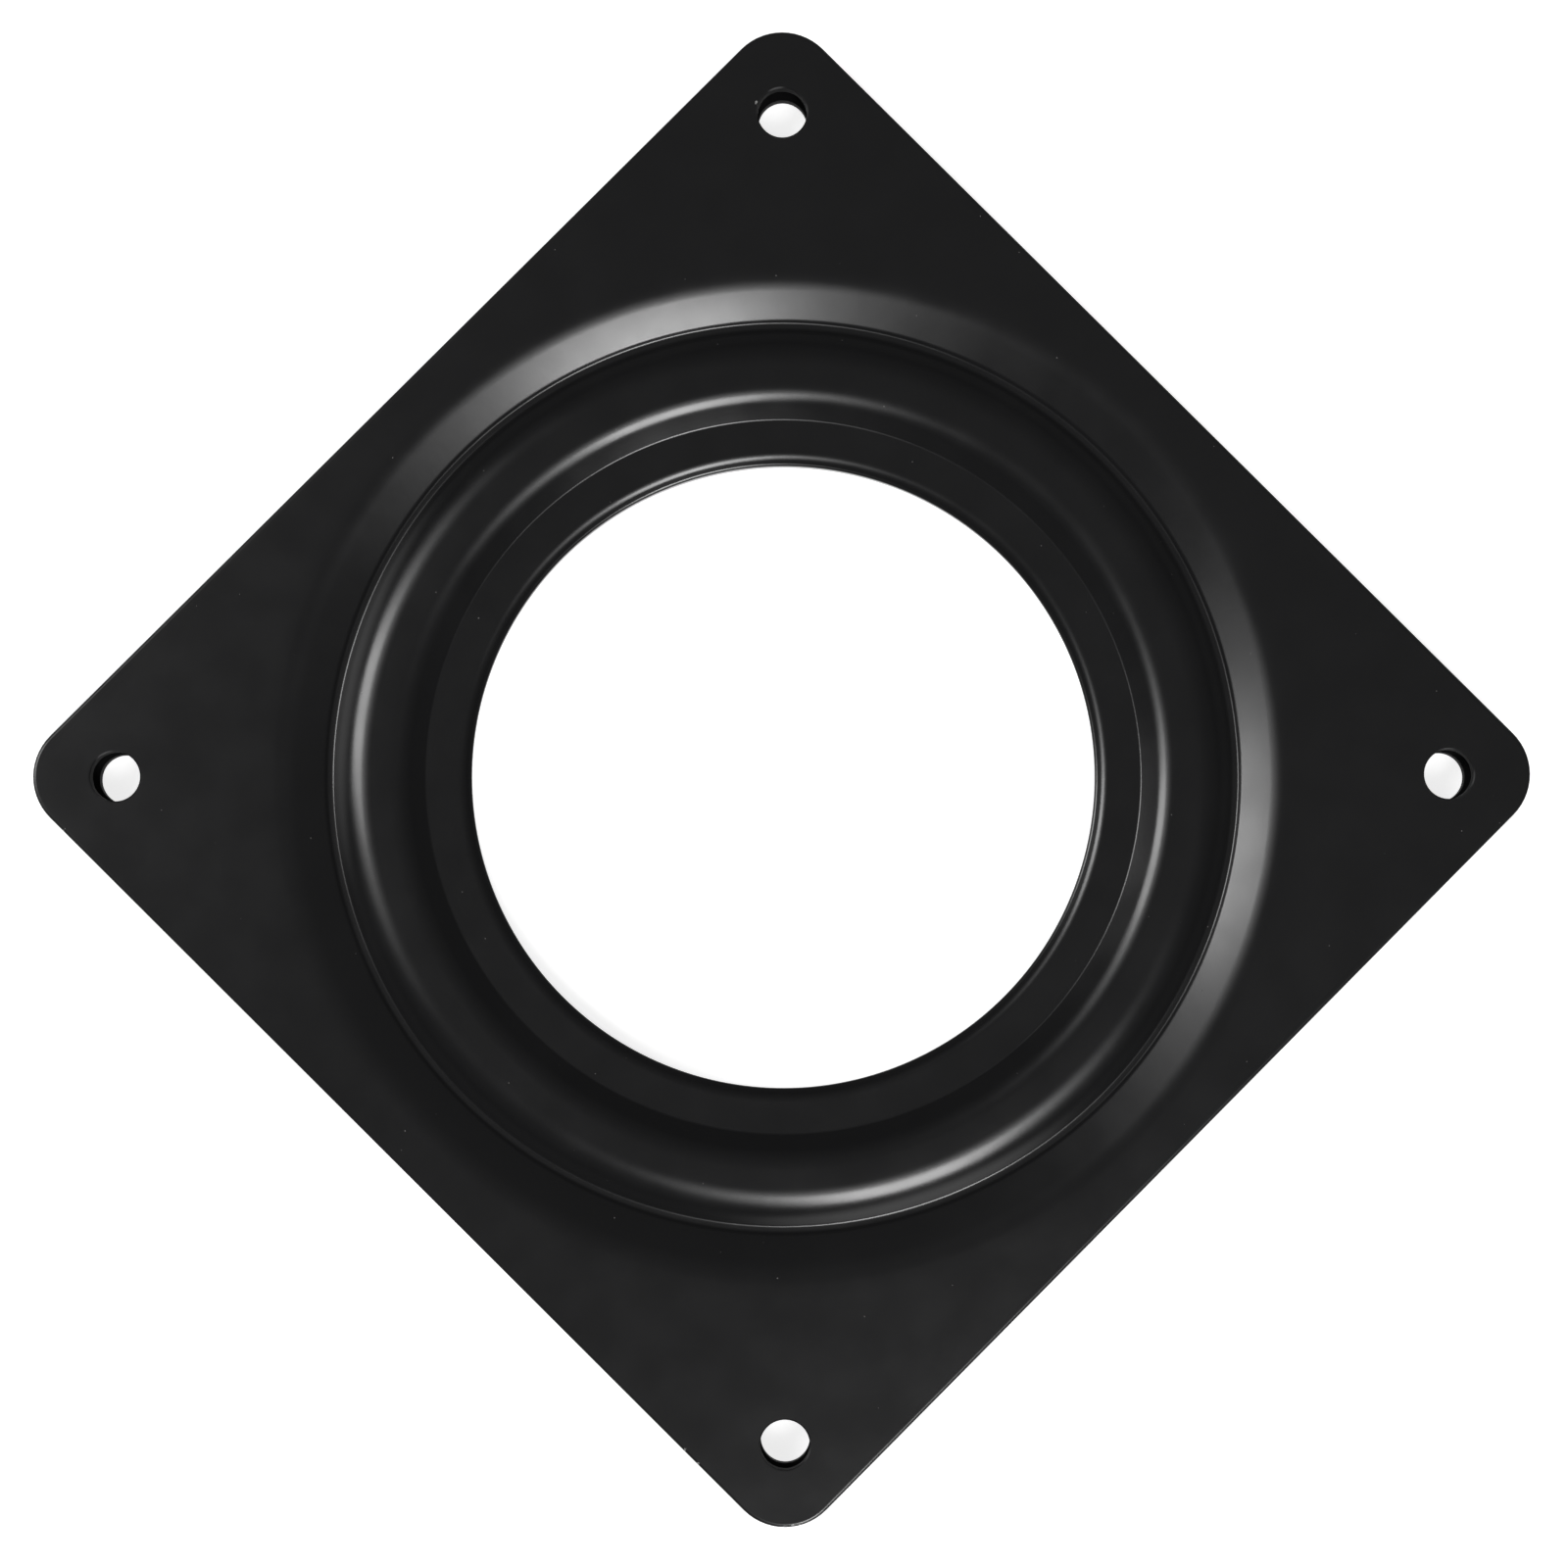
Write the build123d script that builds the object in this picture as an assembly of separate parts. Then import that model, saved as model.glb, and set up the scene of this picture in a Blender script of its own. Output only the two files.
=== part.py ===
from build123d import *
import math
import os

# Seat swivel plate: two pressed square plates that turn on a ring of loose steel balls.
# The origin is the middle of the plate on the face it rests on, and +Z is the turning axis.
# All lengths are in millimetres. Sections are drawn as radius and height above the ball plane.

# Square outline, the same on both plates
plate_side = 150.0
corner_radius = 8.0
sheet = 2.0
edge_rounding = 0.4
hole_margin = 10.3
hole_diameter = 6.8
hole_break = 0.2

# Balls, and the gap that they keep between the plates
ball_diameter = 4.76
ball_count = 48
ball_clearance = 0.07
land_gap = 1.0

# Conical dish inside the flat rim, with a small coined step at its foot
rim_margin = 6.85
dish_width = 5.5
dish_bend = 5.0
land_width = 0.8
step_width = 0.45
step_height = 0.3
step_top_bend = 1.5
step_foot_bend = 0.6

# Race bead, as widths outside and inside the circle that the balls run on
outer_crest_width = 3.4
inner_crest_width = 3.1
outer_foot_width = 6.15
inner_foot_width = 6.45
outer_crest_bend = 8.0
inner_crest_bend = 4.5
outer_foot_bend = 0.7
inner_foot_bend = 0.6
crest_recess = 0.05

# Ring inside the bead, lip of the bore, and the collar that is rolled out under the lower plate
ring_width = 6.35
lip_width = 1.0
lip_bend = 1.6
lip_angle = 33.0
throat_width = 0.5
throat_angle = 20.0
throat_bend = 0.35
collar_wall = 1.6
collar_lean = 5.5
collar_bend = 0.4
collar_clearance = 0.3
flange_wall = 1.4
flange_clearance = 0.3
flange_overlap = 2.8


def drop(width, angle):
    """Height lost over a width by a face that slopes at an angle in degrees."""
    return width * math.tan(math.radians(angle))


# Heights above the ball plane
race_height = ball_diameter / 2 + ball_clearance
crest_height = race_height + sheet
face_height = crest_height + crest_recess
land_height = land_gap / 2 + sheet
ring_under_height = land_gap / 2

throat_height = land_height - drop(lip_width / 2, lip_angle) - drop(throat_width, throat_angle)

# Places that follow from the square, going inwards from its side
hole_pitch = plate_side - 2 * hole_margin
dish_radius = plate_side / 2 - rim_margin
step_foot_radius = dish_radius - dish_width
outer_foot_radius = step_foot_radius - land_width
race_radius = outer_foot_radius - outer_foot_width
inner_foot_radius = race_radius - inner_foot_width
bore_radius = inner_foot_radius - ring_width

# Heights of the collar's ends
flange_top = -land_height - flange_clearance
flange_bottom = flange_top - flange_wall


def wall_radius(height):
    """Radius of the collar's inner wall, which leans outwards towards its rolled end."""
    return bore_radius + drop(throat_height - height, collar_lean)


def outer_face():
    """Corners of the face away from the balls, from beyond the rim to the inner ring."""
    return [
        (plate_side, face_height, 0),
        (dish_radius, face_height, dish_bend),
        (step_foot_radius, land_height, step_foot_bend),
        (outer_foot_radius, land_height, outer_foot_bend),
        (race_radius + outer_crest_width, crest_height, outer_crest_bend),
        (race_radius - inner_crest_width, crest_height, inner_crest_bend),
        (inner_foot_radius, land_height, inner_foot_bend),
        (bore_radius, land_height, 0),
    ]


def add_step(corners):
    """Put the small step at the foot of the conical slope into the outer face."""
    step_top = (step_foot_radius + step_width, land_height + step_height, step_top_bend)
    return corners[:2] + [step_top] + corners[2:]


def race_face(corners):
    """Corners of the face on the balls' side, one sheet thickness in, with bends to match."""
    first = corners[0]
    face = [(first[0], first[1] - sheet, 0)]
    for before, here, after in zip(corners, corners[1:], corners[2:]):
        arriving = Vector(here[0] - before[0], here[1] - before[1]).normalized()
        leaving = Vector(after[0] - here[0], after[1] - here[1]).normalized()
        normal_in = Vector(-arriving.Y, arriving.X)
        normal_out = Vector(-leaving.Y, leaving.X)
        shift = (normal_in + normal_out) * (sheet / (1 + normal_in.dot(normal_out)))
        turns_in = arriving.X * leaving.Y - arriving.Y * leaving.X > 0
        bend = here[2] - sheet if turns_in else here[2] + sheet
        face.append((here[0] + shift.X, here[1] + shift.Y, max(bend, 0)))
    return face


def revolved_section(corners):
    """Solid of revolution of a closed section given by its corners and bends."""
    points = [(radius, 0, height) for radius, height, bend in corners]
    bends = [bend for radius, height, bend in corners]
    outline = FilletPolyline(*points, radius=bends, close=True)
    return revolve(make_face(outline), Axis.Z, 360)


def square_blank(pressing, height):
    """Cut a round pressing to the square outline and pierce its four corner holes."""
    outline = RectangleRounded(plate_side, plate_side, corner_radius)
    blank = pressing & extrude(outline, amount=height, both=True)
    holes = GridLocations(hole_pitch, hole_pitch, 2, 2) * Cylinder(hole_diameter / 2, 4 * height)
    blank = blank - holes
    mounting_face = blank.faces().filter_by(Axis.Z).sort_by(Axis.Z)[-1]
    rim = mounting_face.outer_wire().edges()
    hole_rims = mounting_face.edges().filter_by(GeomType.CIRCLE)
    hole_rims = hole_rims.filter_by(lambda edge: abs(edge.radius - hole_diameter / 2) < 0.01)
    blank = fillet(rim, edge_rounding)
    hole_edges = [edge for edge in blank.edges() if same_place(edge, hole_rims)]
    return chamfer(hole_edges, hole_break)


def same_place(edge, others):
    """True where an edge is centred on one of the others and has its length."""
    return any(
        (edge.center() - other.center()).length < 0.01 and abs(edge.length - other.length) < 0.01
        for other in others
    )


def upper_plate():
    """Pressed plate whose bore is drawn down into a collar and rolled out at its end."""
    face = outer_face()
    lip_start = bore_radius + throat_width + lip_width / 2
    lip_end = bore_radius + throat_width
    flange_radius = wall_radius(flange_bottom) + collar_wall + flange_overlap
    collar = [
        (lip_start, land_height, lip_bend),
        (lip_end, land_height - drop(lip_width / 2, lip_angle), lip_bend / 4),
        (bore_radius, throat_height, throat_bend),
        (wall_radius(flange_bottom), flange_bottom, flange_wall + collar_bend),
        (flange_radius, flange_bottom, collar_bend),
        (flange_radius, flange_top, collar_bend),
        (wall_radius(flange_top) + collar_wall, flange_top, collar_bend),
        (wall_radius(ring_under_height) + collar_wall, ring_under_height, collar_bend),
    ]
    section = add_step(face)[:-1] + collar + race_face(face)[::-1]
    return square_blank(revolved_section(section), face_height)


def lower_plate():
    """Pressed plate with a plain hole that the collar turns in, face down."""
    face = outer_face()
    hole_radius = wall_radius(-land_height) + collar_wall + collar_clearance
    ring_end = [
        (hole_radius, land_height, 0),
        (hole_radius, ring_under_height, 0),
    ]
    section = add_step(face)[:-1] + ring_end + race_face(face)[::-1]
    plate = square_blank(revolved_section(section), face_height)
    return mirror(plate, about=Plane.XY)


def ball(index):
    """One ball on the race's pitch circle."""
    turn = Rotation(0, 0, index * 360 / ball_count)
    return turn * Pos(race_radius, 0, 0) * Sphere(ball_diameter / 2)


def save(shape, name):
    """Stand the shape on the resting face and write it."""
    export_step(Pos(0, 0, face_height) * shape, f"parts/{name}.step")


os.makedirs("parts", exist_ok=True)
save(upper_plate(), "upper_plate")
save(lower_plate(), "lower_plate")
for number in range(ball_count):
    save(ball(number), f"ball_{number + 1:02d}")
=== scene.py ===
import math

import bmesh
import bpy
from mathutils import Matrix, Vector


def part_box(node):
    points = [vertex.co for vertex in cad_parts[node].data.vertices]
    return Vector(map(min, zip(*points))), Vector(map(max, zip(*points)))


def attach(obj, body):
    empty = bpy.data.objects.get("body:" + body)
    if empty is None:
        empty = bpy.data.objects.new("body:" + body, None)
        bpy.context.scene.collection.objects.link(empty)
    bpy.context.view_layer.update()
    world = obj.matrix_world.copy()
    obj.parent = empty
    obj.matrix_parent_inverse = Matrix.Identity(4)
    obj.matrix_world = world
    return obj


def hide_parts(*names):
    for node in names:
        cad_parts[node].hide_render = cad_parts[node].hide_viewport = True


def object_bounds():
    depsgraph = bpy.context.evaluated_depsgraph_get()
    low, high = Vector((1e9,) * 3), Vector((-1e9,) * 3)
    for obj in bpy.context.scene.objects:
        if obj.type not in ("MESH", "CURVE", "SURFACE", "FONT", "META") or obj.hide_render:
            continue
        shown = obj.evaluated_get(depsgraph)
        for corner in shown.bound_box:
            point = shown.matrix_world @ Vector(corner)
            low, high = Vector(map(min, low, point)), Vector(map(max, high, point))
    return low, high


bl_info = {
    "name": "Seat Swivel Plate",
    "version": (1, 0, 0),
    "blender": (4, 5, 0),
    "location": "3D View > Sidebar > Swivel Plate",
    "description": "Pressed swivel plate for a seat, with coated plates, steel balls and a studio",
    "category": "Object",
}

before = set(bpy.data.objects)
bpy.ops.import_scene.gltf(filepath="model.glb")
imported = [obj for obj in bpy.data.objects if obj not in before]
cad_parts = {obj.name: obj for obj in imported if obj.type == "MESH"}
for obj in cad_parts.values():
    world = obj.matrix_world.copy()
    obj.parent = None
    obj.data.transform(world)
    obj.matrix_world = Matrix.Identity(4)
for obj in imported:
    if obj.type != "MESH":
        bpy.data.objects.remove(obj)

CAD_LOW, CAD_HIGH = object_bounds()
UPPER_LOW, UPPER_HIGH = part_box("upper_plate")
LOWER_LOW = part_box("lower_plate")[0]

# Faces nearer than this lie in one plane, and wire points nearer than this are one point
SAME_PLANE = 1e-6
# Vertices of a finished mesh that are nearer than this are merged
SAME_VERTEX = 1e-7

# Pale spots in the upper plate's coat, as x, y and size: one chipped place by a hole, chipped places
# along an edge, and a painted highlight made of the last four, where the rounded rim at one corner faces
# the main lamp
COAT_CHIPS_AND_RIM_HIGHLIGHT = (
    (0.0631, 0.0682, 0.0009),
    (0.0634, 0.0678, 0.0007),
    (-0.0749, 0.0643, 0.0010),
    (-0.0748, -0.0555, 0.0008),
    (-0.0748, -0.0580, 0.0008),
    # Painted highlight: pale spots where the rounded rim at this corner faces the main lamp
    (-0.0726, -0.0725, 0.0012),
    (-0.0718, -0.0733, 0.0013),
    (-0.0709, -0.0739, 0.0013),
    (-0.0698, -0.0744, 0.0009),
)

# Material places on both plates: the coat comes first
HOLE_WALL = 1

# Noise levels at which an effect sets in and at which it is full
RUBBED_LEVELS = (0.52, 0.75)
GLOSS_LEVELS = (0.25, 0.75)
TORN_LEVELS = (0.50, 0.72)
GREASE_LEVELS = (0.48, 0.62)

# Light of the surroundings: how far up, as a sine, and how bright
SKY_LEVELS = ((0.0, 0.90), (0.13, 0.25), (0.24, 0.10), (0.40, 0.11), (0.56, 0.06), (0.70, 0.11),
              (0.80, 0.11), (1.0, 0.17))
WHITE = (1, 1, 1, 1)

# Width of the camera's sensor in millimetres, and the nearest distance that it sees in metres
SENSOR_WIDTH = 36
NEAREST_SEEN = 0.01


def length(name, description, default):
    """A size property in metres."""
    return bpy.props.FloatProperty(
        name=name, description=description, default=default, min=0, precision=5, unit="LENGTH")


def angle(name, description, degrees):
    """An angle property."""
    return bpy.props.FloatProperty(
        name=name, description=description, default=math.radians(degrees), subtype="ANGLE")


def amount(name, description, default, most=1.0):
    """A plain number property from nothing up to its most."""
    return bpy.props.FloatProperty(
        name=name, description=description, default=default, min=0, max=most, precision=4)


def count(name, description, default):
    """A whole number property."""
    return bpy.props.IntProperty(name=name, description=description, default=default, min=1)


def colour(name, description, default):
    """A colour property."""
    return bpy.props.FloatVectorProperty(
        name=name, description=description, default=default, size=3, min=0, max=1, subtype="COLOR")


class PlateSizes(bpy.types.PropertyGroup):
    """Square outline and sheet, the same on both plates."""
    side: length("Side", "Side of the square plate", UPPER_HIGH.x - UPPER_LOW.x)
    corner_radius: length("Corner radius", "Radius of the plate's four corners", 0.008)
    sheet: length("Sheet", "Thickness of the sheet", 0.002)
    edge_rounding: length("Edge rounding", "Rounding of the rim on the mounting face", 0.0004)
    hole_margin: length("Hole margin", "From a side to the middle of a corner hole", 0.0103)
    hole_diameter: length("Hole diameter", "Diameter of the corner holes", 0.0068)
    hole_break: length("Hole break", "Broken edge of a hole on the mounting face", 0.0002)
    land_gap: length("Land gap", "Gap between the two inner rings", 0.001)


class PressingSizes(bpy.types.PropertyGroup):
    """Conical dish and race bead, going inwards from the flat rim."""
    rim_margin: length("Rim margin", "From a side to the start of the dish", 0.00665)
    dish_width: length("Dish width", "Width of the conical slope", 0.0057)
    dish_bend: length("Dish bend", "Bend between the flat rim and the slope", 0.010)
    land_width: length("Land width", "From the foot of the slope to the bead", 0.0008)
    step_width: length("Step width", "Width of the coined step at the slope's foot", 0.00045)
    step_height: length("Step height", "Height of the coined step", 0.0003)
    step_top_bend: length("Step top bend", "Bend above the coined step", 0.0015)
    step_foot_bend: length("Step foot bend", "Bend below the coined step", 0.0006)
    outer_crest_width: length("Outer crest width", "Crest of the bead outside the balls", 0.0034)
    inner_crest_width: length("Inner crest width", "Crest of the bead inside the balls", 0.0031)
    outer_foot_width: length("Outer foot width", "Foot of the bead outside the balls", 0.00615)
    inner_foot_width: length("Inner foot width", "Foot of the bead inside the balls", 0.00645)
    outer_crest_bend: length("Outer crest bend", "Bend at the crest's outer edge", 0.008)
    inner_crest_bend: length("Inner crest bend", "Bend at the crest's inner edge", 0.0055)
    outer_foot_bend: length("Outer foot bend", "Bend at the bead's outer foot", 0.0007)
    inner_foot_bend: length("Inner foot bend", "Bend at the bead's inner foot", 0.0006)
    crest_recess: length("Crest recess", "Depth of the crest below the flat rim", 0.00005)
    ring_width: length("Ring width", "From the bead to the bore", 0.00635)


class CollarSizes(bpy.types.PropertyGroup):
    """Lip of the bore and the collar rolled out under the lower plate."""
    lip_width: length("Lip width", "Width of the lip's slope", 0.0017)
    lip_bend: length("Lip bend", "Bend between the inner ring and the lip", 0.0024)
    lip_foot_bend: length("Lip foot bend", "Bend between the lip and the throat", 0.0004)
    lip_angle: angle("Lip angle", "Slope of the lip", 33)
    throat_width: length("Throat width", "Width of the throat's slope", 0.0004)
    throat_angle: angle("Throat angle", "Slope of the throat", 20)
    throat_bend: length("Throat bend", "Bend between the throat and the collar", 0.00035)
    wall: length("Wall", "Wall of the collar", 0.0016)
    lean: angle("Lean", "Outward lean of the collar", 5.5)
    bend: length("Bend", "Small bends of the rolled end", 0.0004)
    clearance: length("Clearance", "Gap between the collar and the lower plate", 0.0003)
    flange_wall: length("Flange wall", "Thickness of the rolled end", 0.0014)
    flange_clearance: length("Flange clearance", "Gap between the rolled end and the ring", 0.0003)
    flange_overlap: length("Flange overlap", "Reach of the rolled end past the collar", 0.0028)


class MeshSteps(bpy.types.PropertyGroup):
    """How finely round forms are divided, and where an edge is sharp."""
    around: count("Around", "Steps of a full turn about the swivel axis", 240)
    hole: count("Hole", "Steps around a corner hole", 64)
    corner: count("Corner", "Steps around a corner of the square", 14)
    rounding: count("Rounding", "Steps across the rounded rim", 4)
    bend: angle("Bend", "Turn of one step in a wide bend", 3)
    widest_bend: angle("Widest bend", "Most that one step turns in a small bend", 16)
    chord: length("Chord", "Length of one step in a small bend", 0.00008)
    support: length("Support", "Width of the flat strip beside a rounded edge", 0.00015)
    sharp: angle("Sharp", "Faces that meet at more than this have a sharp edge", 35)


class CoatFinish(bpy.types.PropertyGroup):
    """Black coat on both plates, with its wear, pale chipped spots, a painted rim highlight and dust."""
    tint: colour("Tint", "Colour of the coat", (0.0068, 0.0068, 0.0072))
    worn_tint: colour("Worn tint", "Colour where the coat is rubbed thin", (0.021, 0.021, 0.022))
    rubbing: amount("Rubbing", "Strength of the rubbed patches", 0.10)
    rubbed_scale: amount("Rubbed scale", "Rubbed patches in a metre", 55, 1000)
    # This pale tint colours both the chipped coat and the painted highlight on the rounded rim
    chip_and_highlight_tint: colour("Chip and highlight tint", "Colour of a chip in the coat", (0.26, 0.26, 0.255))
    spot_scale: amount("Spot scale", "Notches of a chip's edge in a metre", 3400, 10000)
    spot_notch: amount("Spot notch", "Depth of the notches, for a chip's size", 1.7, 10)
    roughness: amount("Roughness", "Roughness of the coat", 0.20)
    gloss_spread: amount("Gloss spread", "Range of the coat's roughness", 0.04)
    gloss_scale: amount("Gloss scale", "Patches of roughness in a metre", 140, 1000)
    grain_size: length("Grain size", "Size of the coat's fine grain", 0.00032)
    grain_depth: length("Grain depth", "Depth of the fine grain", 0.0000022)
    swell_size: length("Swell size", "Size of the coat's soft waves", 0.0022)
    swell_depth: length("Swell depth", "Depth of the soft waves", 0.0000035)
    dust: amount("Dust", "Share of dust specks on the upper plate", 0.35)
    lower_dust: amount("Lower dust", "Share of dust specks on the lower plate", 0.175)
    dust_tint: colour("Dust tint", "Colour of a speck", (0.16, 0.155, 0.15))
    dust_roughness: amount("Dust roughness", "Roughness that a speck adds", 0.3)
    dust_scale: amount("Dust scale", "Places for a speck in a metre", 420, 10000)
    dust_size: amount("Dust size", "Size of a speck in its place", 0.035)


class WallFinish(bpy.types.PropertyGroup):
    """Sheared walls of the corner holes, which the coat left dull."""
    tint: colour("Tint", "Colour of the walls", (0.0035, 0.0035, 0.0037))
    torn_tint: colour("Torn tint", "Colour where the sheet tore", (0.021, 0.021, 0.022))
    torn_scale: amount("Torn scale", "Torn patches in a metre", 900, 10000)
    roughness: amount("Roughness", "Roughness of the walls", 0.75)
    gloss: amount("Gloss", "Strength of the walls' reflection", 0.12)
    grain_size: length("Grain size", "Size of the walls' fine grain", 0.00032)
    grain_depth: length("Grain depth", "Depth of the fine grain", 0.0000088)
    swell_size: length("Swell size", "Size of the walls' soft waves", 0.0011)
    swell_depth: length("Swell depth", "Depth of the soft waves", 0.000006)


class SteelFinish(bpy.types.PropertyGroup):
    """Ground steel of the balls, with a film of grease."""
    tint: colour("Tint", "Colour of the steel", (0.56, 0.56, 0.58))
    grease_tint: colour("Grease tint", "Colour of the grease film", (0.30, 0.24, 0.14))
    grease: amount("Grease", "Strength of the grease film", 0.5)
    grease_scale: amount("Grease scale", "Patches of the grease film in a metre", 700, 10000)
    grease_roughness: amount("Grease roughness", "Roughness that the film adds", 0.4)
    roughness: amount("Roughness", "Roughness of the steel", 0.12)
    grain_size: length("Grain size", "Size of the grinding marks", 0.00009)
    grain_depth: length("Grain depth", "Depth of the grinding marks", 0.0000003)
    swell_size: length("Swell size", "Size of the balls' soft waves", 0.0009)
    swell_depth: length("Swell depth", "Depth of the soft waves", 0.0000006)


class StudioSettings(bpy.types.PropertyGroup):
    """Floor, lamps, surroundings and camera."""
    floor_tint: colour("Floor tint", "Colour of the floor", (0.8, 0.8, 0.8))
    floor_glow: amount("Floor glow", "White that the floor shows to the camera", 0.80)
    floor_size: length("Floor size", "Side of the floor", 6.0)
    floor_gap: length("Floor gap", "Gap between the floor and the resting face", 0.0001)
    patch_scale: amount("Patch scale", "Patches of the floor's tint in a metre", 30, 1000)
    patch_tint: amount("Patch tint", "Tint of a patch as a share of the floor's", 0.98)
    main_radiance: amount("Main lamp", "Radiance of the stronger lamp", 11.9, 100.0)
    main_azimuth: angle("Main lamp azimuth", "Direction of the stronger lamp", 242.8)
    main_tilt: angle("Main lamp tilt", "Tilt of the stronger lamp from straight above", 31.5)
    side_radiance: amount("Side lamp", "Radiance of the weaker lamp", 7.6, 100.0)
    side_azimuth: angle("Side lamp azimuth", "Direction of the weaker lamp", 120)
    side_tilt: angle("Side lamp tilt", "Tilt of the weaker lamp from straight above", 36.0)
    lamp_distance: length("Lamp distance", "Distance of both lamps", 4.2)
    lamp_width: length("Lamp width", "Width of each lamp, level with the floor", 1.02)
    lamp_height: length("Lamp height", "Height of each lamp along its tilt", 1.42)
    main_spill: amount("Main spill", "Light around the stronger lamp", 2.4, 10.0)
    side_spill: amount("Side spill", "Light around the weaker lamp", 1.65, 10.0)
    spill_lift: angle("Spill lift", "How much higher than its lamp this light is", 4.5)
    spill_reach: angle("Spill reach", "How far the light around a lamp spreads", 19.5)
    main_wall: amount("Main wall", "Light of the wall below the stronger lamp", 1.3, 10.0)
    side_wall: amount("Side wall", "Light of the wall below the weaker lamp", 0.9, 10.0)
    wall_rise: angle("Wall rise", "How far above the floor the lit walls are brightest", 14)
    wall_reach: angle("Wall reach", "How far each wall's light spreads", 26)
    camera_place: bpy.props.FloatVectorProperty(
        name="Camera place", description="Where the camera stands", size=3, subtype="XYZ",
        default=(-0.017265, -0.022223, 0.499164), unit="LENGTH", precision=5)
    camera_roll: angle("Camera roll", "Turn of the camera about the swivel axis", -45.148)
    camera_side_tilt: angle("Camera side tilt", "Tilt of the camera to its side", -0.723)
    camera_nod: angle("Camera nod", "Tilt of the camera upwards", 1.635)
    camera_lens: bpy.props.FloatProperty(
        name="Lens", description="Focal length in millimetres", default=82.125, min=1)
    camera_shift_x: bpy.props.FloatProperty(
        name="Shift X", description="Sideways shift of the frame", default=-0.0451, precision=4)
    camera_shift_y: bpy.props.FloatProperty(
        name="Shift Y", description="Upward shift of the frame", default=0.0591, precision=4)


class SwivelPlateSettings(bpy.types.PropertyGroup):
    """Everything that a user would change."""
    plate: bpy.props.PointerProperty(type=PlateSizes, name="Plate", description="Square and sheet")
    pressing: bpy.props.PointerProperty(type=PressingSizes, name="Pressing", description="Dish and bead")
    collar: bpy.props.PointerProperty(type=CollarSizes, name="Collar", description="Lip and collar")
    steps: bpy.props.PointerProperty(type=MeshSteps, name="Steps", description="Fineness of round forms")
    coat: bpy.props.PointerProperty(type=CoatFinish, name="Coat", description="Black coat")
    wall: bpy.props.PointerProperty(type=WallFinish, name="Hole walls", description="Dull hole walls")
    steel: bpy.props.PointerProperty(type=SteelFinish, name="Steel", description="Balls")
    studio: bpy.props.PointerProperty(type=StudioSettings, name="Studio", description="Floor and lamps")


def drop(width, slope):
    """Height lost over a width by a face that slopes at an angle."""
    return width * math.tan(slope)


class Pressing:
    """Places and heights that follow from the sizes. Heights count from the ball plane."""

    def __init__(self, settings):
        plate, form, collar = settings.plate, settings.pressing, settings.collar
        self.sheet = plate.sheet
        self.land = plate.land_gap / 2 + plate.sheet
        self.ring_under = plate.land_gap / 2
        self.face = (UPPER_HIGH.z - LOWER_LOW.z) / 2
        self.crest = self.face - form.crest_recess
        self.dish_radius = plate.side / 2 - form.rim_margin
        self.step_foot_radius = self.dish_radius - form.dish_width
        self.outer_foot_radius = self.step_foot_radius - form.land_width
        self.race_radius = self.outer_foot_radius - form.outer_foot_width
        self.inner_foot_radius = self.race_radius - form.inner_foot_width
        self.bore_radius = self.inner_foot_radius - form.ring_width
        self.lip_foot = self.land - drop(collar.lip_width / 2, collar.lip_angle)
        self.throat = self.lip_foot - drop(collar.throat_width, collar.throat_angle)
        self.flange_top = -self.land - collar.flange_clearance
        self.flange_bottom = self.flange_top - collar.flange_wall
        self.lean = collar.lean
        # The spun middle meets the flat square halfway between the dish and the nearest side
        self.join_radius = (self.dish_radius + plate.side / 2) / 2

    def wall_radius(self, height):
        """Radius of the collar's inner wall, which leans outwards towards its rolled end."""
        return self.bore_radius + drop(self.throat - height, self.lean)


def outer_face(pressing, form):
    """Corners of the face away from the balls, as radius, height and bend, going inwards."""
    return [
        (pressing.join_radius, pressing.face, 0),
        (pressing.dish_radius, pressing.face, form.dish_bend),
        (pressing.step_foot_radius, pressing.land, form.step_foot_bend),
        (pressing.outer_foot_radius, pressing.land, form.outer_foot_bend),
        (pressing.race_radius + form.outer_crest_width, pressing.crest, form.outer_crest_bend),
        (pressing.race_radius - form.inner_crest_width, pressing.crest, form.inner_crest_bend),
        (pressing.inner_foot_radius, pressing.land, form.inner_foot_bend),
        (pressing.bore_radius, pressing.land, 0),
    ]


def with_step(corners, form):
    """Put the coined step at the foot of the slope into the outer face."""
    foot_radius, foot_height = corners[2][:2]
    step_top = (foot_radius + form.step_width, foot_height + form.step_height, form.step_top_bend)
    return corners[:2] + [step_top] + corners[2:]


def race_face(corners, sheet):
    """Corners of the face on the balls' side, one sheet in, with bends to match."""
    radius, height = corners[0][:2]
    face = [(radius, height - sheet, 0)]
    for before, here, after in zip(corners, corners[1:], corners[2:]):
        arriving = Vector((here[0] - before[0], here[1] - before[1])).normalized()
        leaving = Vector((after[0] - here[0], after[1] - here[1])).normalized()
        normal_in = arriving.orthogonal()
        normal_out = leaving.orthogonal()
        shift = (normal_in + normal_out) * (sheet / (1 + normal_in.dot(normal_out)))
        turns_in = arriving.cross(leaving) > 0
        bend = here[2] - sheet if turns_in else here[2] + sheet
        face.append((here[0] + shift.x, here[1] + shift.y, max(bend, 0)))
    return face


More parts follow.
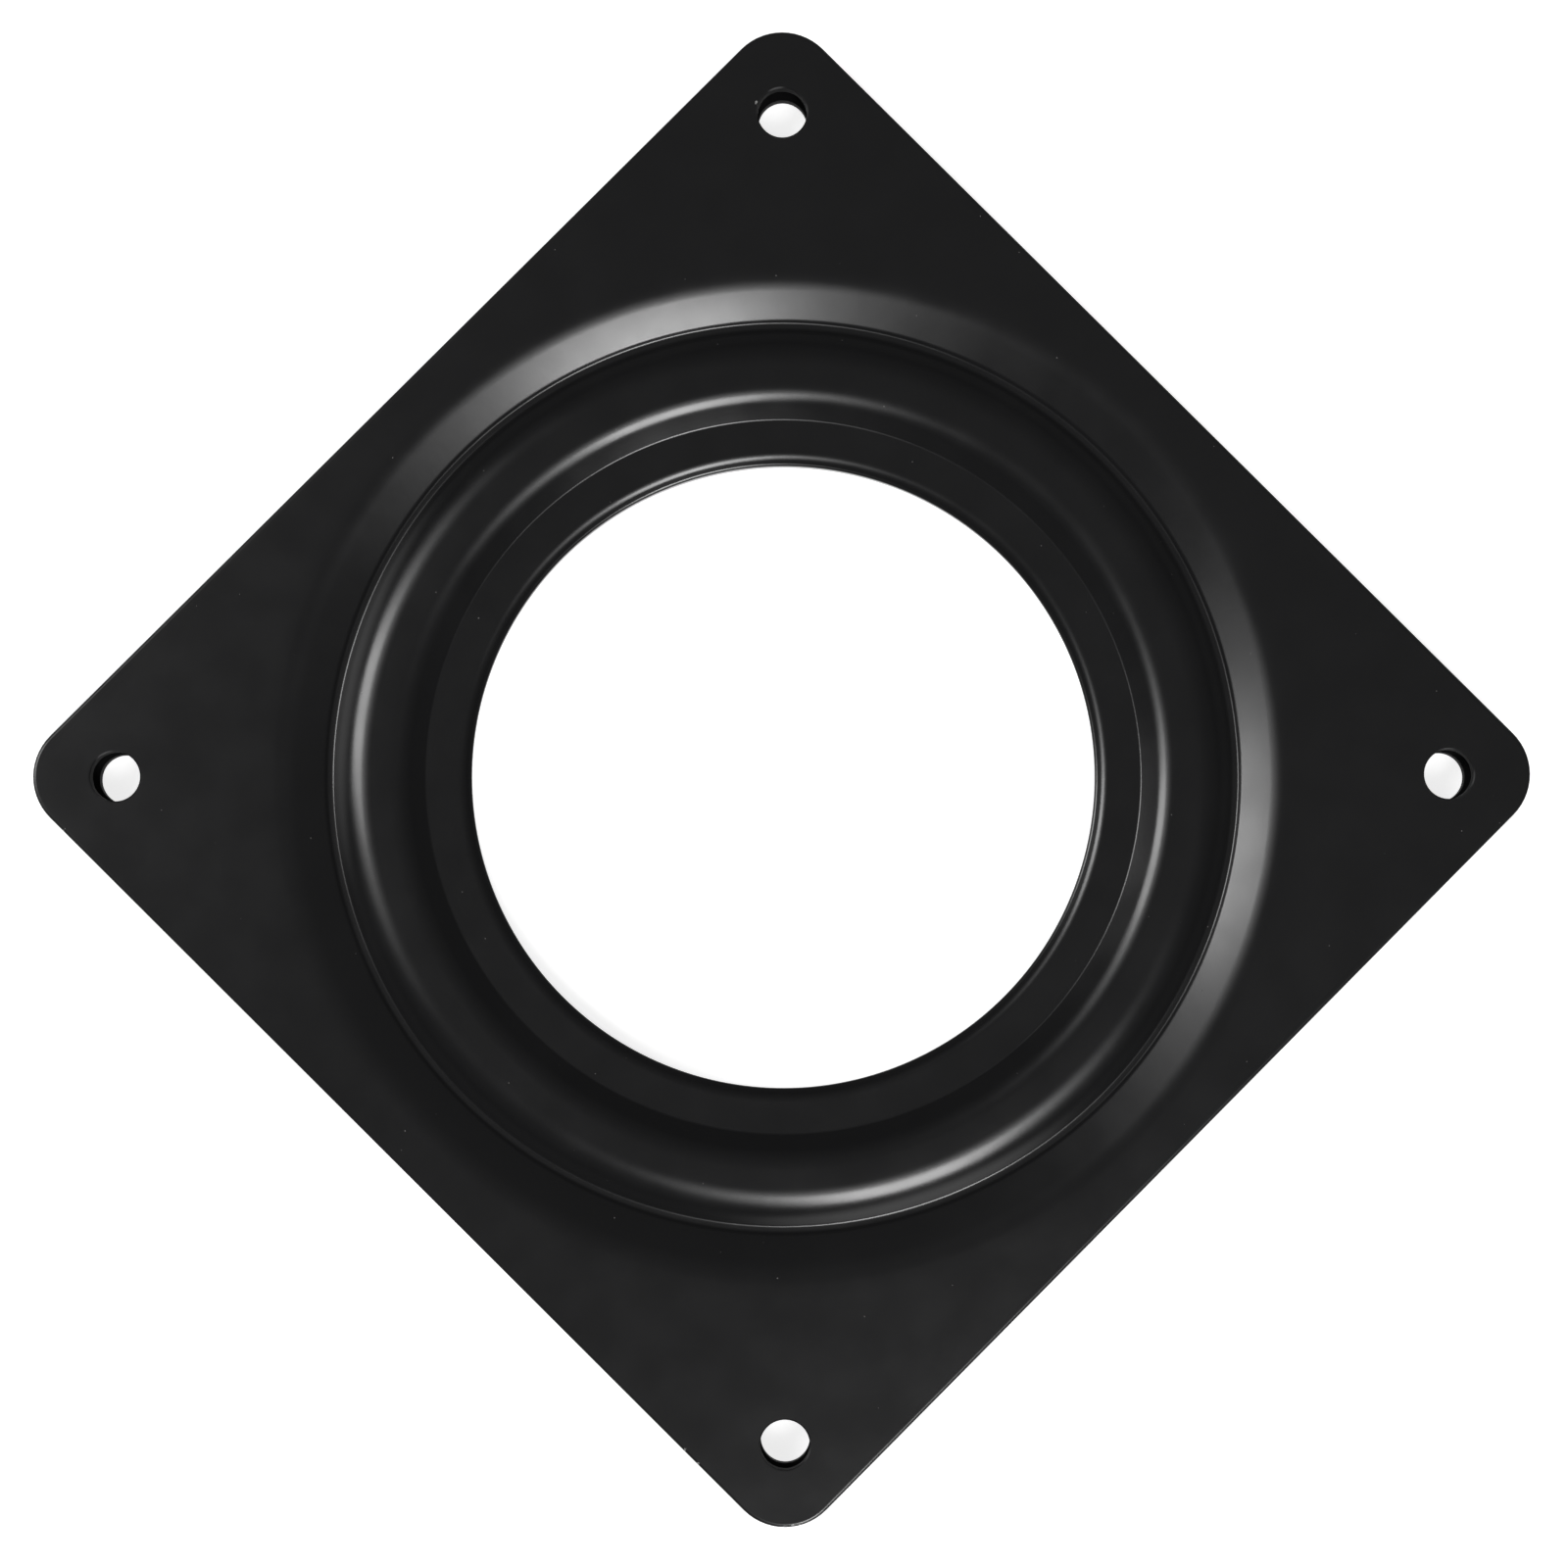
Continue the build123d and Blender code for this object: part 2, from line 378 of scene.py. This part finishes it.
def upper_section(settings):
    """Corners of the upper plate's section, from the top of the flat rim to its underside."""
    form, collar = settings.pressing, settings.collar
    pressing = Pressing(settings)
    face = outer_face(pressing, form)
    bottom, top, under = pressing.flange_bottom, pressing.flange_top, pressing.ring_under
    lip_end = pressing.bore_radius + collar.throat_width
    flange_radius = pressing.wall_radius(bottom) + collar.wall + collar.flange_overlap
    rolled = [
        (lip_end + collar.lip_width / 2, pressing.land, collar.lip_bend),
        (lip_end, pressing.lip_foot, collar.lip_foot_bend),
        (pressing.bore_radius, pressing.throat, collar.throat_bend),
        (pressing.wall_radius(bottom), bottom, collar.flange_wall + collar.bend),
        (flange_radius, bottom, collar.bend),
        (flange_radius, top, collar.bend),
        (pressing.wall_radius(top) + collar.wall, top, collar.bend),
        (pressing.wall_radius(under) + collar.wall, under, collar.bend),
    ]
    return with_step(face, form)[:-1] + rolled + race_face(face, pressing.sheet)[::-1]


def lower_section(settings):
    """Corners of the lower plate's section, which is a mirror image with a plain hole."""
    form, collar = settings.pressing, settings.collar
    pressing = Pressing(settings)
    face = outer_face(pressing, form)
    hole_radius = pressing.wall_radius(-pressing.land) + collar.wall + collar.clearance
    ring_end = [(hole_radius, pressing.land, 0), (hole_radius, pressing.ring_under, 0)]
    section = with_step(face, form)[:-1] + ring_end + race_face(face, pressing.sheet)[::-1]
    return [(radius, -height, bend) for radius, height, bend in section]


def run_wire(bm, vert, place):
    """Run a wire straight on from its last point, and return the new last point."""
    if (place - vert.co).length < SAME_PLANE:
        return vert
    new = bmesh.ops.extrude_vert_indiv(bm, verts=[vert])["verts"]
    bmesh.ops.translate(bm, verts=new, vec=place - vert.co)
    return new[0]


def draw_section(bm, corners, middle_height, steps):
    """Draw a section as a wire of straight runs and round bends."""
    points = [Vector((radius, 0, middle_height + height)) for radius, height, bend in corners]
    vert = bm.verts.new(points[0])
    for index in range(1, len(points) - 1):
        arriving = (points[index] - points[index - 1]).normalized()
        leaving = (points[index + 1] - points[index]).normalized()
        turn = arriving.angle(leaving)
        bend = corners[index][2]
        vert = run_wire(bm, vert, points[index] - arriving * bend * math.tan(turn / 2))
        if bend > 0:
            axis = arriving.cross(leaving).normalized()
            centre = vert.co + axis.cross(arriving) * bend
            finest = math.ceil(bend * turn / steps.chord)
            coarsest = math.ceil(turn / steps.widest_bend)
            count_here = max(1, coarsest, min(finest, math.ceil(turn / steps.bend)))
            arc = bmesh.ops.spin(
                bm, geom=[vert], cent=centre, axis=axis, angle=turn, steps=count_here)["geom_last"]
            vert = next(part for part in arc if isinstance(part, bmesh.types.BMVert))
    run_wire(bm, vert, points[-1])


def spin_full(bm, geometry, centre, steps):
    """Spin a wire into a closed ring about an upright axis."""
    bmesh.ops.spin(
        bm, geom=geometry, cent=centre, axis=(0, 0, 1), angle=math.tau, steps=steps, use_merge=True)


def add_square_rim(bm, plate, steps, low, mounting_face):
    """Add the plate's outer wall, with round corners and a rounded rim on the mounting face."""
    start = set(bm.verts)
    bmesh.ops.create_cube(bm, size=1)
    verts = [vert for vert in bm.verts if vert not in start]
    bmesh.ops.scale(bm, verts=verts, vec=(plate.side, plate.side, plate.sheet))
    bmesh.ops.translate(bm, verts=verts, vec=(0, 0, low + plate.sheet / 2))
    edges = {edge for vert in verts for edge in vert.link_edges}
    upright = [edge for edge in edges if abs(edge.verts[0].co.z - edge.verts[1].co.z) > SAME_PLANE]
    bmesh.ops.bevel(
        bm, geom=upright, offset=plate.corner_radius, offset_type="OFFSET", segments=steps.corner,
        profile=0.5, affect="EDGES", material=-1)
    verts = [vert for vert in bm.verts if vert not in start]
    edges = {edge for vert in verts for edge in vert.link_edges}
    rim = [edge for edge in edges
           if all(abs(vert.co.z - mounting_face) < SAME_PLANE for vert in edge.verts)]
    bmesh.ops.bevel(
        bm, geom=rim, offset=plate.edge_rounding, offset_type="OFFSET", segments=steps.rounding,
        profile=0.5, affect="EDGES", material=-1)
    # The two flat faces are the only ones with a vertex at each step of the four corners
    flats = [face for face in bm.faces if len(face.verts) > 4 * steps.corner]
    bmesh.ops.inset_region(bm, faces=flats, thickness=steps.support, use_even_offset=True)
    bmesh.ops.delete(bm, geom=flats, context="FACES_ONLY")


def add_hole(bm, plate, steps, x, y, mounting_face, other_face):
    """Add the wall of a corner hole, with its edge broken on the mounting face."""
    radius = plate.hole_diameter / 2
    into = math.copysign(plate.hole_break, other_face - mounting_face)
    broken = x + radius + plate.hole_break
    places = [
        (broken + steps.support, y, mounting_face),
        (broken, y, mounting_face),
        (x + radius, y, mounting_face + into),
        (x + radius, y, other_face),
    ]
    verts = [bm.verts.new(place) for place in places]
    edges = [bm.edges.new(pair) for pair in zip(verts, verts[1:])]
    start = set(bm.faces)
    spin_full(bm, verts + edges, (x, y, 0), steps.hole)
    centre = Vector((x, y))
    for face in bm.faces:
        if face not in start and all((vert.co.xy - centre).length < radius + SAME_PLANE
                                     for vert in face.verts):
            face.material_index = HOLE_WALL


def fill_flat(bm, height):
    """Fill the flat sheet between every open rim that lies at one height."""
    rims = [edge for edge in bm.edges if edge.is_boundary
            and all(abs(vert.co.z - height) < SAME_PLANE for vert in edge.verts)]
    bmesh.ops.triangle_fill(
        bm, use_beauty=True, use_dissolve=False, edges=rims, normal=(0, 0, 1))


def finish_mesh(bm, name, sharp_angle):
    """Turn a bmesh into an object with smooth faces and true sharp edges."""
    bmesh.ops.remove_doubles(bm, verts=bm.verts, dist=SAME_VERTEX)
    bmesh.ops.recalc_face_normals(bm, faces=bm.faces)
    for face in bm.faces:
        face.smooth = True
    for edge in bm.edges:
        edge.smooth = edge.calc_face_angle(0) < sharp_angle
    mesh = bpy.data.meshes.new(name)
    bm.to_mesh(mesh)
    bm.free()
    piece = bpy.data.objects.new(name, mesh)
    bpy.context.scene.collection.objects.link(piece)
    return piece


def make_plate(settings, name, section, mounting_face, other_face):
    """Model one pressed plate from its section and its two flat faces."""
    plate, steps = settings.plate, settings.steps
    bm = bmesh.new()
    draw_section(bm, section, (UPPER_HIGH.z + LOWER_LOW.z) / 2, steps)
    spin_full(bm, bm.verts[:] + bm.edges[:], (0, 0, 0), steps.around)
    add_square_rim(bm, plate, steps, min(mounting_face, other_face), mounting_face)
    hole_place = plate.side / 2 - plate.hole_margin
    for x in (-hole_place, hole_place):
        for y in (-hole_place, hole_place):
            add_hole(bm, plate, steps, x, y, mounting_face, other_face)
    fill_flat(bm, mounting_face)
    fill_flat(bm, other_face)
    return finish_mesh(bm, name, steps.sharp)


def group_tree(name, inputs, outputs):
    """An empty shader node group with named inputs and outputs."""
    tree = bpy.data.node_groups.new(name, "ShaderNodeTree")
    for socket, kind in inputs:
        tree.interface.new_socket(name=socket, in_out="INPUT", socket_type=kind)
    for socket, kind in outputs:
        tree.interface.new_socket(name=socket, in_out="OUTPUT", socket_type=kind)
    return tree, tree.nodes.new("NodeGroupInput"), tree.nodes.new("NodeGroupOutput")


def set_inputs(node, values):
    """Set a node's inputs, by name or place, to plain values or to other nodes' outputs."""
    tree = node.id_data
    for key, value in values.items():
        if isinstance(value, bpy.types.NodeSocket):
            tree.links.new(value, node.inputs[key])
        else:
            node.inputs[key].default_value = value
    return node


def add_math(tree, operation, *values):
    """A math node's output for two or three values or sockets."""
    node = tree.nodes.new("ShaderNodeMath")
    node.operation = operation
    return set_inputs(node, dict(enumerate(values))).outputs[0]


def add_noise(tree, place, scale, detail, seed_shift=(0, 0, 0)):
    """Noise at a place, from 0 to 1."""
    shift = tree.nodes.new("ShaderNodeVectorMath")
    set_inputs(shift, {0: place, 1: seed_shift})
    node = tree.nodes.new("ShaderNodeTexNoise")
    set_inputs(node, {"Vector": shift.outputs[0], "Scale": scale, "Detail": detail})
    return node.outputs["Fac"]


def add_band(tree, value, low, high):
    """A smooth step from 0 to 1 as a value goes from low to high."""
    node = tree.nodes.new("ShaderNodeMapRange")
    node.interpolation_type = "SMOOTHSTEP"
    set_inputs(node, {"Value": value, "From Min": low, "From Max": high})
    return node.outputs["Result"]


def mix_colour(tree, mask, first, second):
    """Mix two colours by a mask. Inputs 6 and 7 and output 2 are the node's colour sockets."""
    node = tree.nodes.new("ShaderNodeMix")
    node.data_type = "RGBA"
    set_inputs(node, {0: mask, 6: first, 7: second})
    return node.outputs[2]


def surface_relief_group():
    """Bumpy relief of a coat or a ground face: fine grain over soft waves, in real sizes."""
    name = "Surface relief"
    if name in bpy.data.node_groups:
        return bpy.data.node_groups[name]
    inputs = [("Place", "NodeSocketVector"), ("Grain Scale", "NodeSocketFloat"),
              ("Grain Depth", "NodeSocketFloat"), ("Swell Scale", "NodeSocketFloat"),
              ("Swell Depth", "NodeSocketFloat")]
    tree, group_in, group_out = group_tree(name, inputs, [("Height", "NodeSocketFloat")])
    place = group_in.outputs["Place"]
    grain = add_noise(tree, place, group_in.outputs["Grain Scale"], detail=2)
    swell = add_noise(
        tree, place, group_in.outputs["Swell Scale"], detail=1, seed_shift=(0.7, 0.3, 0.1))
    grain = add_math(tree, "MULTIPLY", grain, group_in.outputs["Grain Depth"])
    swell = add_math(tree, "MULTIPLY", swell, group_in.outputs["Swell Depth"])
    set_inputs(group_out, {"Height": add_math(tree, "ADD", grain, swell)})
    return tree


def dust_group():
    """Mask of small dust specks that lie here and there on a surface."""
    name = "Dust specks"
    if name in bpy.data.node_groups:
        return bpy.data.node_groups[name]
    inputs = [("Place", "NodeSocketVector"), ("Cell Scale", "NodeSocketFloat"),
              ("Speck Size", "NodeSocketFloat"), ("Share", "NodeSocketFloat")]
    tree, group_in, group_out = group_tree(name, inputs, [("Mask", "NodeSocketFloat")])
    cells = tree.nodes.new("ShaderNodeTexVoronoi")
    set_inputs(cells, {"Vector": group_in.outputs["Place"], "Scale": group_in.outputs["Cell Scale"]})
    speck = add_math(tree, "LESS_THAN", cells.outputs["Distance"], group_in.outputs["Speck Size"])
    channels = tree.nodes.new("ShaderNodeSeparateColor")
    set_inputs(channels, {0: cells.outputs["Color"]})
    chosen = add_math(tree, "LESS_THAN", channels.outputs[0], group_in.outputs["Share"])
    strength = add_math(tree, "MULTIPLY", chosen, channels.outputs[1])
    set_inputs(group_out, {"Mask": add_math(tree, "MULTIPLY", speck, strength)})
    return tree


def add_group(tree, group, values):
    """Place a node group with its own values."""
    node = tree.nodes.new("ShaderNodeGroup")
    node.node_tree = group
    return set_inputs(node, values)


def new_material(name):
    """A material with an empty tree but for its shader, and the object's coordinates."""
    material = bpy.data.materials.new(name)
    material.use_nodes = True
    tree = material.node_tree
    shader = tree.nodes["Principled BSDF"]
    place = tree.nodes.new("ShaderNodeTexCoord").outputs["Object"]
    return material, tree, shader, place


def add_relief(tree, shader, place, finish):
    """Give a shader the fine relief of its finish."""
    relief = add_group(tree, surface_relief_group(), {
        "Place": place, "Grain Scale": 1 / finish.grain_size, "Grain Depth": finish.grain_depth,
        "Swell Scale": 1 / finish.swell_size, "Swell Depth": finish.swell_depth})
    bump = tree.nodes.new("ShaderNodeBump")
    set_inputs(bump, {"Height": relief.outputs["Height"], "Distance": 1.0, "Strength": 1.0})
    set_inputs(shader, {"Normal": bump.outputs["Normal"]})


def add_coat_spot(tree, finish, place, tint, spot):
    """Put one pale spot with a ragged edge into the colour of a coat. Spots show chipped coat, except at
    the corner facing the main lamp, where they are a painted highlight.
    """
    x, y, size = spot
    near = tree.nodes.new("ShaderNodeVectorMath")
    near.operation = "DISTANCE"
    set_inputs(near, {0: place, 1: (x, y, UPPER_HIGH.z)})
    noise = add_noise(tree, place, finish.spot_scale, detail=4)
    ragged = add_math(tree, "MULTIPLY", noise, finish.spot_notch * size)
    distance = add_math(tree, "ADD", near.outputs["Value"], ragged)
    mask = add_math(tree, "LESS_THAN", distance, size)
    return mix_colour(tree, mask, tint, (*finish.chip_and_highlight_tint, 1))


def coat_material(finish, name, dust_share, chips_and_highlight):
    """Satin black coat with fine grain, faint rubbing, dust specks, pale chipped spots and a painted
    highlight on the rounded rim.
    """
    material, tree, shader, place = new_material(name)
    rubbed = add_band(tree, add_noise(tree, place, finish.rubbed_scale, detail=6), *RUBBED_LEVELS)
    rubbed = add_math(tree, "MULTIPLY", rubbed, finish.rubbing)
    tint = mix_colour(tree, rubbed, (*finish.tint, 1), (*finish.worn_tint, 1))
    dust = add_group(tree, dust_group(), {
        "Place": place, "Cell Scale": finish.dust_scale, "Speck Size": finish.dust_size,
        "Share": dust_share}).outputs["Mask"]
    tint = mix_colour(tree, dust, tint, (*finish.dust_tint, 1))
    gloss = add_noise(tree, place, finish.gloss_scale, detail=5, seed_shift=(0.2, 0.5, 0.9))
    gloss = add_band(tree, gloss, *GLOSS_LEVELS)
    lowest = finish.roughness - finish.gloss_spread / 2
    roughness = add_math(tree, "MULTIPLY_ADD", gloss, finish.gloss_spread, lowest)
    roughness = add_math(tree, "MULTIPLY_ADD", dust, finish.dust_roughness, roughness)
    # Pale spots: chipped coat, and a painted highlight on the rim at the corner facing the main lamp
    for spot in chips_and_highlight:
        tint = add_coat_spot(tree, finish, place, tint, spot)
    set_inputs(shader, {"Base Color": tint, "Roughness": roughness, "IOR": 1.5})
    add_relief(tree, shader, place, finish)
    return material


def hole_wall_material(finish):
    """Sheared walls of the corner holes, which the coat barely reached and left dull."""
    material, tree, shader, place = new_material("Sheared hole walls")
    torn = add_band(tree, add_noise(tree, place, finish.torn_scale, detail=4), *TORN_LEVELS)
    tint = mix_colour(tree, torn, (*finish.tint, 1), (*finish.torn_tint, 1))
    set_inputs(shader, {
        "Base Color": tint, "Roughness": finish.roughness, "Specular IOR Level": finish.gloss})
    add_relief(tree, shader, place, finish)
    return material


def steel_material(finish):
    """Ground steel ball with a broken film of grease."""
    material, tree, shader, place = new_material("Greased ball steel")
    film = add_band(tree, add_noise(tree, place, finish.grease_scale, detail=4), *GREASE_LEVELS)
    film = add_math(tree, "MULTIPLY", film, finish.grease)
    tint = mix_colour(tree, film, (*finish.tint, 1), (*finish.grease_tint, 1))
    roughness = add_math(tree, "MULTIPLY_ADD", film, finish.grease_roughness, finish.roughness)
    set_inputs(shader, {"Base Color": tint, "Roughness": roughness, "Metallic": 1.0})
    add_relief(tree, shader, place, finish)
    return material


def straight_rays(tree, with_glossy):
    """1 for rays that show the background: from the camera, through glass and, if asked, in gloss."""
    rays = tree.nodes.new("ShaderNodeLightPath").outputs
    shown = add_math(tree, "MAXIMUM", rays["Is Camera Ray"], rays["Is Transmission Ray"])
    if with_glossy:
        shown = add_math(tree, "MAXIMUM", shown, rays["Is Glossy Ray"])
    return shown


def floor_material(studio):
    """Pale floor that shows white to the camera and keeps the object's shadow."""
    material = bpy.data.materials.new("Pale floor")
    material.use_nodes = True
    tree = material.node_tree
    tree.nodes.clear()
    output = tree.nodes.new("ShaderNodeOutputMaterial")
    place = tree.nodes.new("ShaderNodeTexCoord").outputs["Object"]
    patches = add_noise(tree, place, studio.patch_scale, detail=3)
    patch_colour = [part * studio.patch_tint for part in studio.floor_tint]
    tint = mix_colour(tree, patches, (*studio.floor_tint, 1), (*patch_colour, 1))
    diffuse = tree.nodes.new("ShaderNodeBsdfDiffuse")
    set_inputs(diffuse, {"Color": tint})
    glow = tree.nodes.new("ShaderNodeEmission")
    strength = add_math(tree, "MULTIPLY", straight_rays(tree, True), studio.floor_glow)
    set_inputs(glow, {"Color": WHITE, "Strength": strength})
    both = tree.nodes.new("ShaderNodeAddShader")
    set_inputs(both, {0: diffuse.outputs[0], 1: glow.outputs[0]})
    set_inputs(output, {"Surface": both.outputs[0]})
    return material


def add_glow(tree, direction, level, azimuth, rise, reach, strength):
    """Add a soft round patch of light to a level, in one direction of the surroundings."""
    towards = Matrix.Rotation(azimuth, 3, "Z") @ Matrix.Rotation(-rise, 3, "Y")
    near = tree.nodes.new("ShaderNodeVectorMath")
    near.operation = "DOT_PRODUCT"
    set_inputs(near, {0: direction, 1: towards @ Vector((1, 0, 0))})
    patch = add_band(tree, near.outputs["Value"], math.cos(reach), 1)
    return add_math(tree, "MULTIPLY_ADD", patch, strength, level)


def studio_world(studio):
    """Dim surroundings, pale at the horizon, below and round each lamp, and white to the camera."""
    world = bpy.data.worlds.new("Studio")
    bpy.context.scene.world = world
    world.use_nodes = True
    tree = world.node_tree
    tree.nodes.clear()
    direction = tree.nodes.new("ShaderNodeTexCoord").outputs["Generated"]
    parts = tree.nodes.new("ShaderNodeSeparateXYZ")
    set_inputs(parts, {0: direction})
    ramp = tree.nodes.new("ShaderNodeValToRGB")
    steps = ramp.color_ramp.elements
    for height, brightness in SKY_LEVELS[1:-1]:
        steps.new(height)
    for step, (height, brightness) in zip(steps, SKY_LEVELS):
        step.color = (brightness, brightness, brightness, 1)
    set_inputs(ramp, {"Fac": parts.outputs["Z"]})
    level = ramp.outputs["Color"]
    for azimuth, tilt, wall, spill in (
            (studio.main_azimuth, studio.main_tilt, studio.main_wall, studio.main_spill),
            (studio.side_azimuth, studio.side_tilt, studio.side_wall, studio.side_spill)):
        level = add_glow(tree, direction, level, azimuth, studio.wall_rise, studio.wall_reach, wall)
        rise = math.pi / 2 - tilt + studio.spill_lift
        level = add_glow(tree, direction, level, azimuth, rise, studio.spill_reach, spill)
    lit = tree.nodes.new("ShaderNodeBackground")
    set_inputs(lit, {"Color": level})
    white = tree.nodes.new("ShaderNodeBackground")
    set_inputs(white, {"Color": WHITE, "Strength": 1.0})
    mix = tree.nodes.new("ShaderNodeMixShader")
    set_inputs(mix, {0: straight_rays(tree, False), 1: lit.outputs[0], 2: white.outputs[0]})
    set_inputs(tree.nodes.new("ShaderNodeOutputWorld"), {"Surface": mix.outputs[0]})


def add_lamp(name, studio, azimuth, tilt, radiance):
    """A soft rectangular lamp that faces the plate from a compass direction."""
    lamp = bpy.data.lights.new(name, "AREA")
    lamp.shape = "RECTANGLE"
    lamp.size = studio.lamp_width
    lamp.size_y = studio.lamp_height
    lamp.energy = radiance * math.pi * studio.lamp_width * studio.lamp_height
    holder = bpy.data.objects.new(name, lamp)
    holder.matrix_world = (Matrix.Rotation(azimuth + math.pi / 2, 4, "Z")
                           @ Matrix.Rotation(tilt, 4, "X")
                           @ Matrix.Translation((0, 0, studio.lamp_distance)))
    bpy.context.scene.collection.objects.link(holder)


def add_camera(studio):
    """The camera, almost straight above the plate, as the photograph was taken."""
    camera = bpy.data.cameras.new("Camera")
    camera.sensor_width = SENSOR_WIDTH
    camera.lens = studio.camera_lens
    camera.shift_x = studio.camera_shift_x
    camera.shift_y = studio.camera_shift_y
    camera.clip_start = NEAREST_SEEN
    holder = bpy.data.objects.new("Camera", camera)
    turn = (Matrix.Rotation(studio.camera_roll, 4, "Z")
            @ Matrix.Rotation(studio.camera_side_tilt, 4, "Y")
            @ Matrix.Rotation(studio.camera_nod, 4, "X"))
    holder.matrix_world = Matrix.Translation(studio.camera_place) @ turn
    bpy.context.scene.collection.objects.link(holder)
    bpy.context.scene.camera = holder


class SWIVEL_OT_upper_plate(bpy.types.Operator):
    """Model the upper plate with its collar and give it its coat"""
    bl_idname = "swivel_plate.upper_plate"
    bl_label = "Upper Plate"

    def execute(self, context):
        settings = context.scene.swivel_plate
        top = UPPER_HIGH.z
        piece = make_plate(settings, "upper_pressing", upper_section(settings),
                           top, top - settings.plate.sheet)
        # The upper coat's pale spots include a painted highlight on the rim at the corner facing the
        # main lamp
        piece.data.materials.append(
            coat_material(settings.coat, "Upper plate coat", settings.coat.dust, COAT_CHIPS_AND_RIM_HIGHLIGHT))
        piece.data.materials.append(hole_wall_material(settings.wall))
        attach(piece, "upper")
        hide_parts("upper_plate")
        return {"FINISHED"}


class SWIVEL_OT_lower_plate(bpy.types.Operator):
    """Model the lower plate and give it its coat"""
    bl_idname = "swivel_plate.lower_plate"
    bl_label = "Lower Plate"

    def execute(self, context):
        settings = context.scene.swivel_plate
        bottom = LOWER_LOW.z
        piece = make_plate(settings, "lower_pressing", lower_section(settings),
                           bottom, bottom + settings.plate.sheet)
        piece.data.materials.append(
            coat_material(settings.coat, "Lower plate coat", settings.coat.lower_dust, []))
        piece.data.materials.append(hole_wall_material(settings.wall))
        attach(piece, "lower")
        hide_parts("lower_plate")
        return {"FINISHED"}


class SWIVEL_OT_balls(bpy.types.Operator):
    """Give every ball its greased steel"""
    bl_idname = "swivel_plate.balls"
    bl_label = "Balls"

    def execute(self, context):
        steel = steel_material(context.scene.swivel_plate.steel)
        for name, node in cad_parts.items():
            if name.startswith("ball_"):
                node.data.materials.clear()
                node.data.materials.append(steel)
        return {"FINISHED"}


class SWIVEL_OT_stage(bpy.types.Operator):
    """Set up the floor, the soft lamps, the surroundings and the camera"""
    bl_idname = "swivel_plate.stage"
    bl_label = "Stage"

    def execute(self, context):
        studio = context.scene.swivel_plate.studio
        bm = bmesh.new()
        bmesh.ops.create_grid(bm, x_segments=4, y_segments=4, size=studio.floor_size / 2)
        bmesh.ops.translate(bm, verts=bm.verts, vec=(0, 0, CAD_LOW.z - studio.floor_gap))
        mesh = bpy.data.meshes.new("floor")
        bm.to_mesh(mesh)
        bm.free()
        floor = bpy.data.objects.new("floor", mesh)
        context.scene.collection.objects.link(floor)
        floor.data.materials.append(floor_material(studio))
        studio_world(studio)
        add_lamp("Main lamp", studio, studio.main_azimuth, studio.main_tilt, studio.main_radiance)
        add_lamp("Side lamp", studio, studio.side_azimuth, studio.side_tilt, studio.side_radiance)
        add_camera(studio)
        context.scene.view_settings.view_transform = "Standard"
        return {"FINISHED"}


class SWIVEL_PT_sidebar(bpy.types.Panel):
    """Lists the steps that make the swivel plate"""
    bl_label = "Swivel Plate"
    bl_idname = "SWIVEL_PT_sidebar"
    bl_space_type = "VIEW_3D"
    bl_region_type = "UI"
    bl_category = "Swivel Plate"

    def draw(self, context):
        for operator in OPERATORS:
            self.layout.operator(operator.bl_idname)


OPERATORS = (SWIVEL_OT_upper_plate, SWIVEL_OT_lower_plate, SWIVEL_OT_balls, SWIVEL_OT_stage)
CLASSES = (PlateSizes, PressingSizes, CollarSizes, MeshSteps, CoatFinish, WallFinish, SteelFinish,
           StudioSettings, SwivelPlateSettings, *OPERATORS, SWIVEL_PT_sidebar)


def register():
    for cls in CLASSES:
        bpy.utils.register_class(cls)
    bpy.types.Scene.swivel_plate = bpy.props.PointerProperty(type=SwivelPlateSettings)


def unregister():
    del bpy.types.Scene.swivel_plate
    for cls in reversed(CLASSES):
        bpy.utils.unregister_class(cls)


def main():
    register()
    bpy.ops.swivel_plate.upper_plate()
    bpy.ops.swivel_plate.lower_plate()
    bpy.ops.swivel_plate.balls()
    bpy.ops.swivel_plate.stage()


if __name__ == "__main__":
    main()
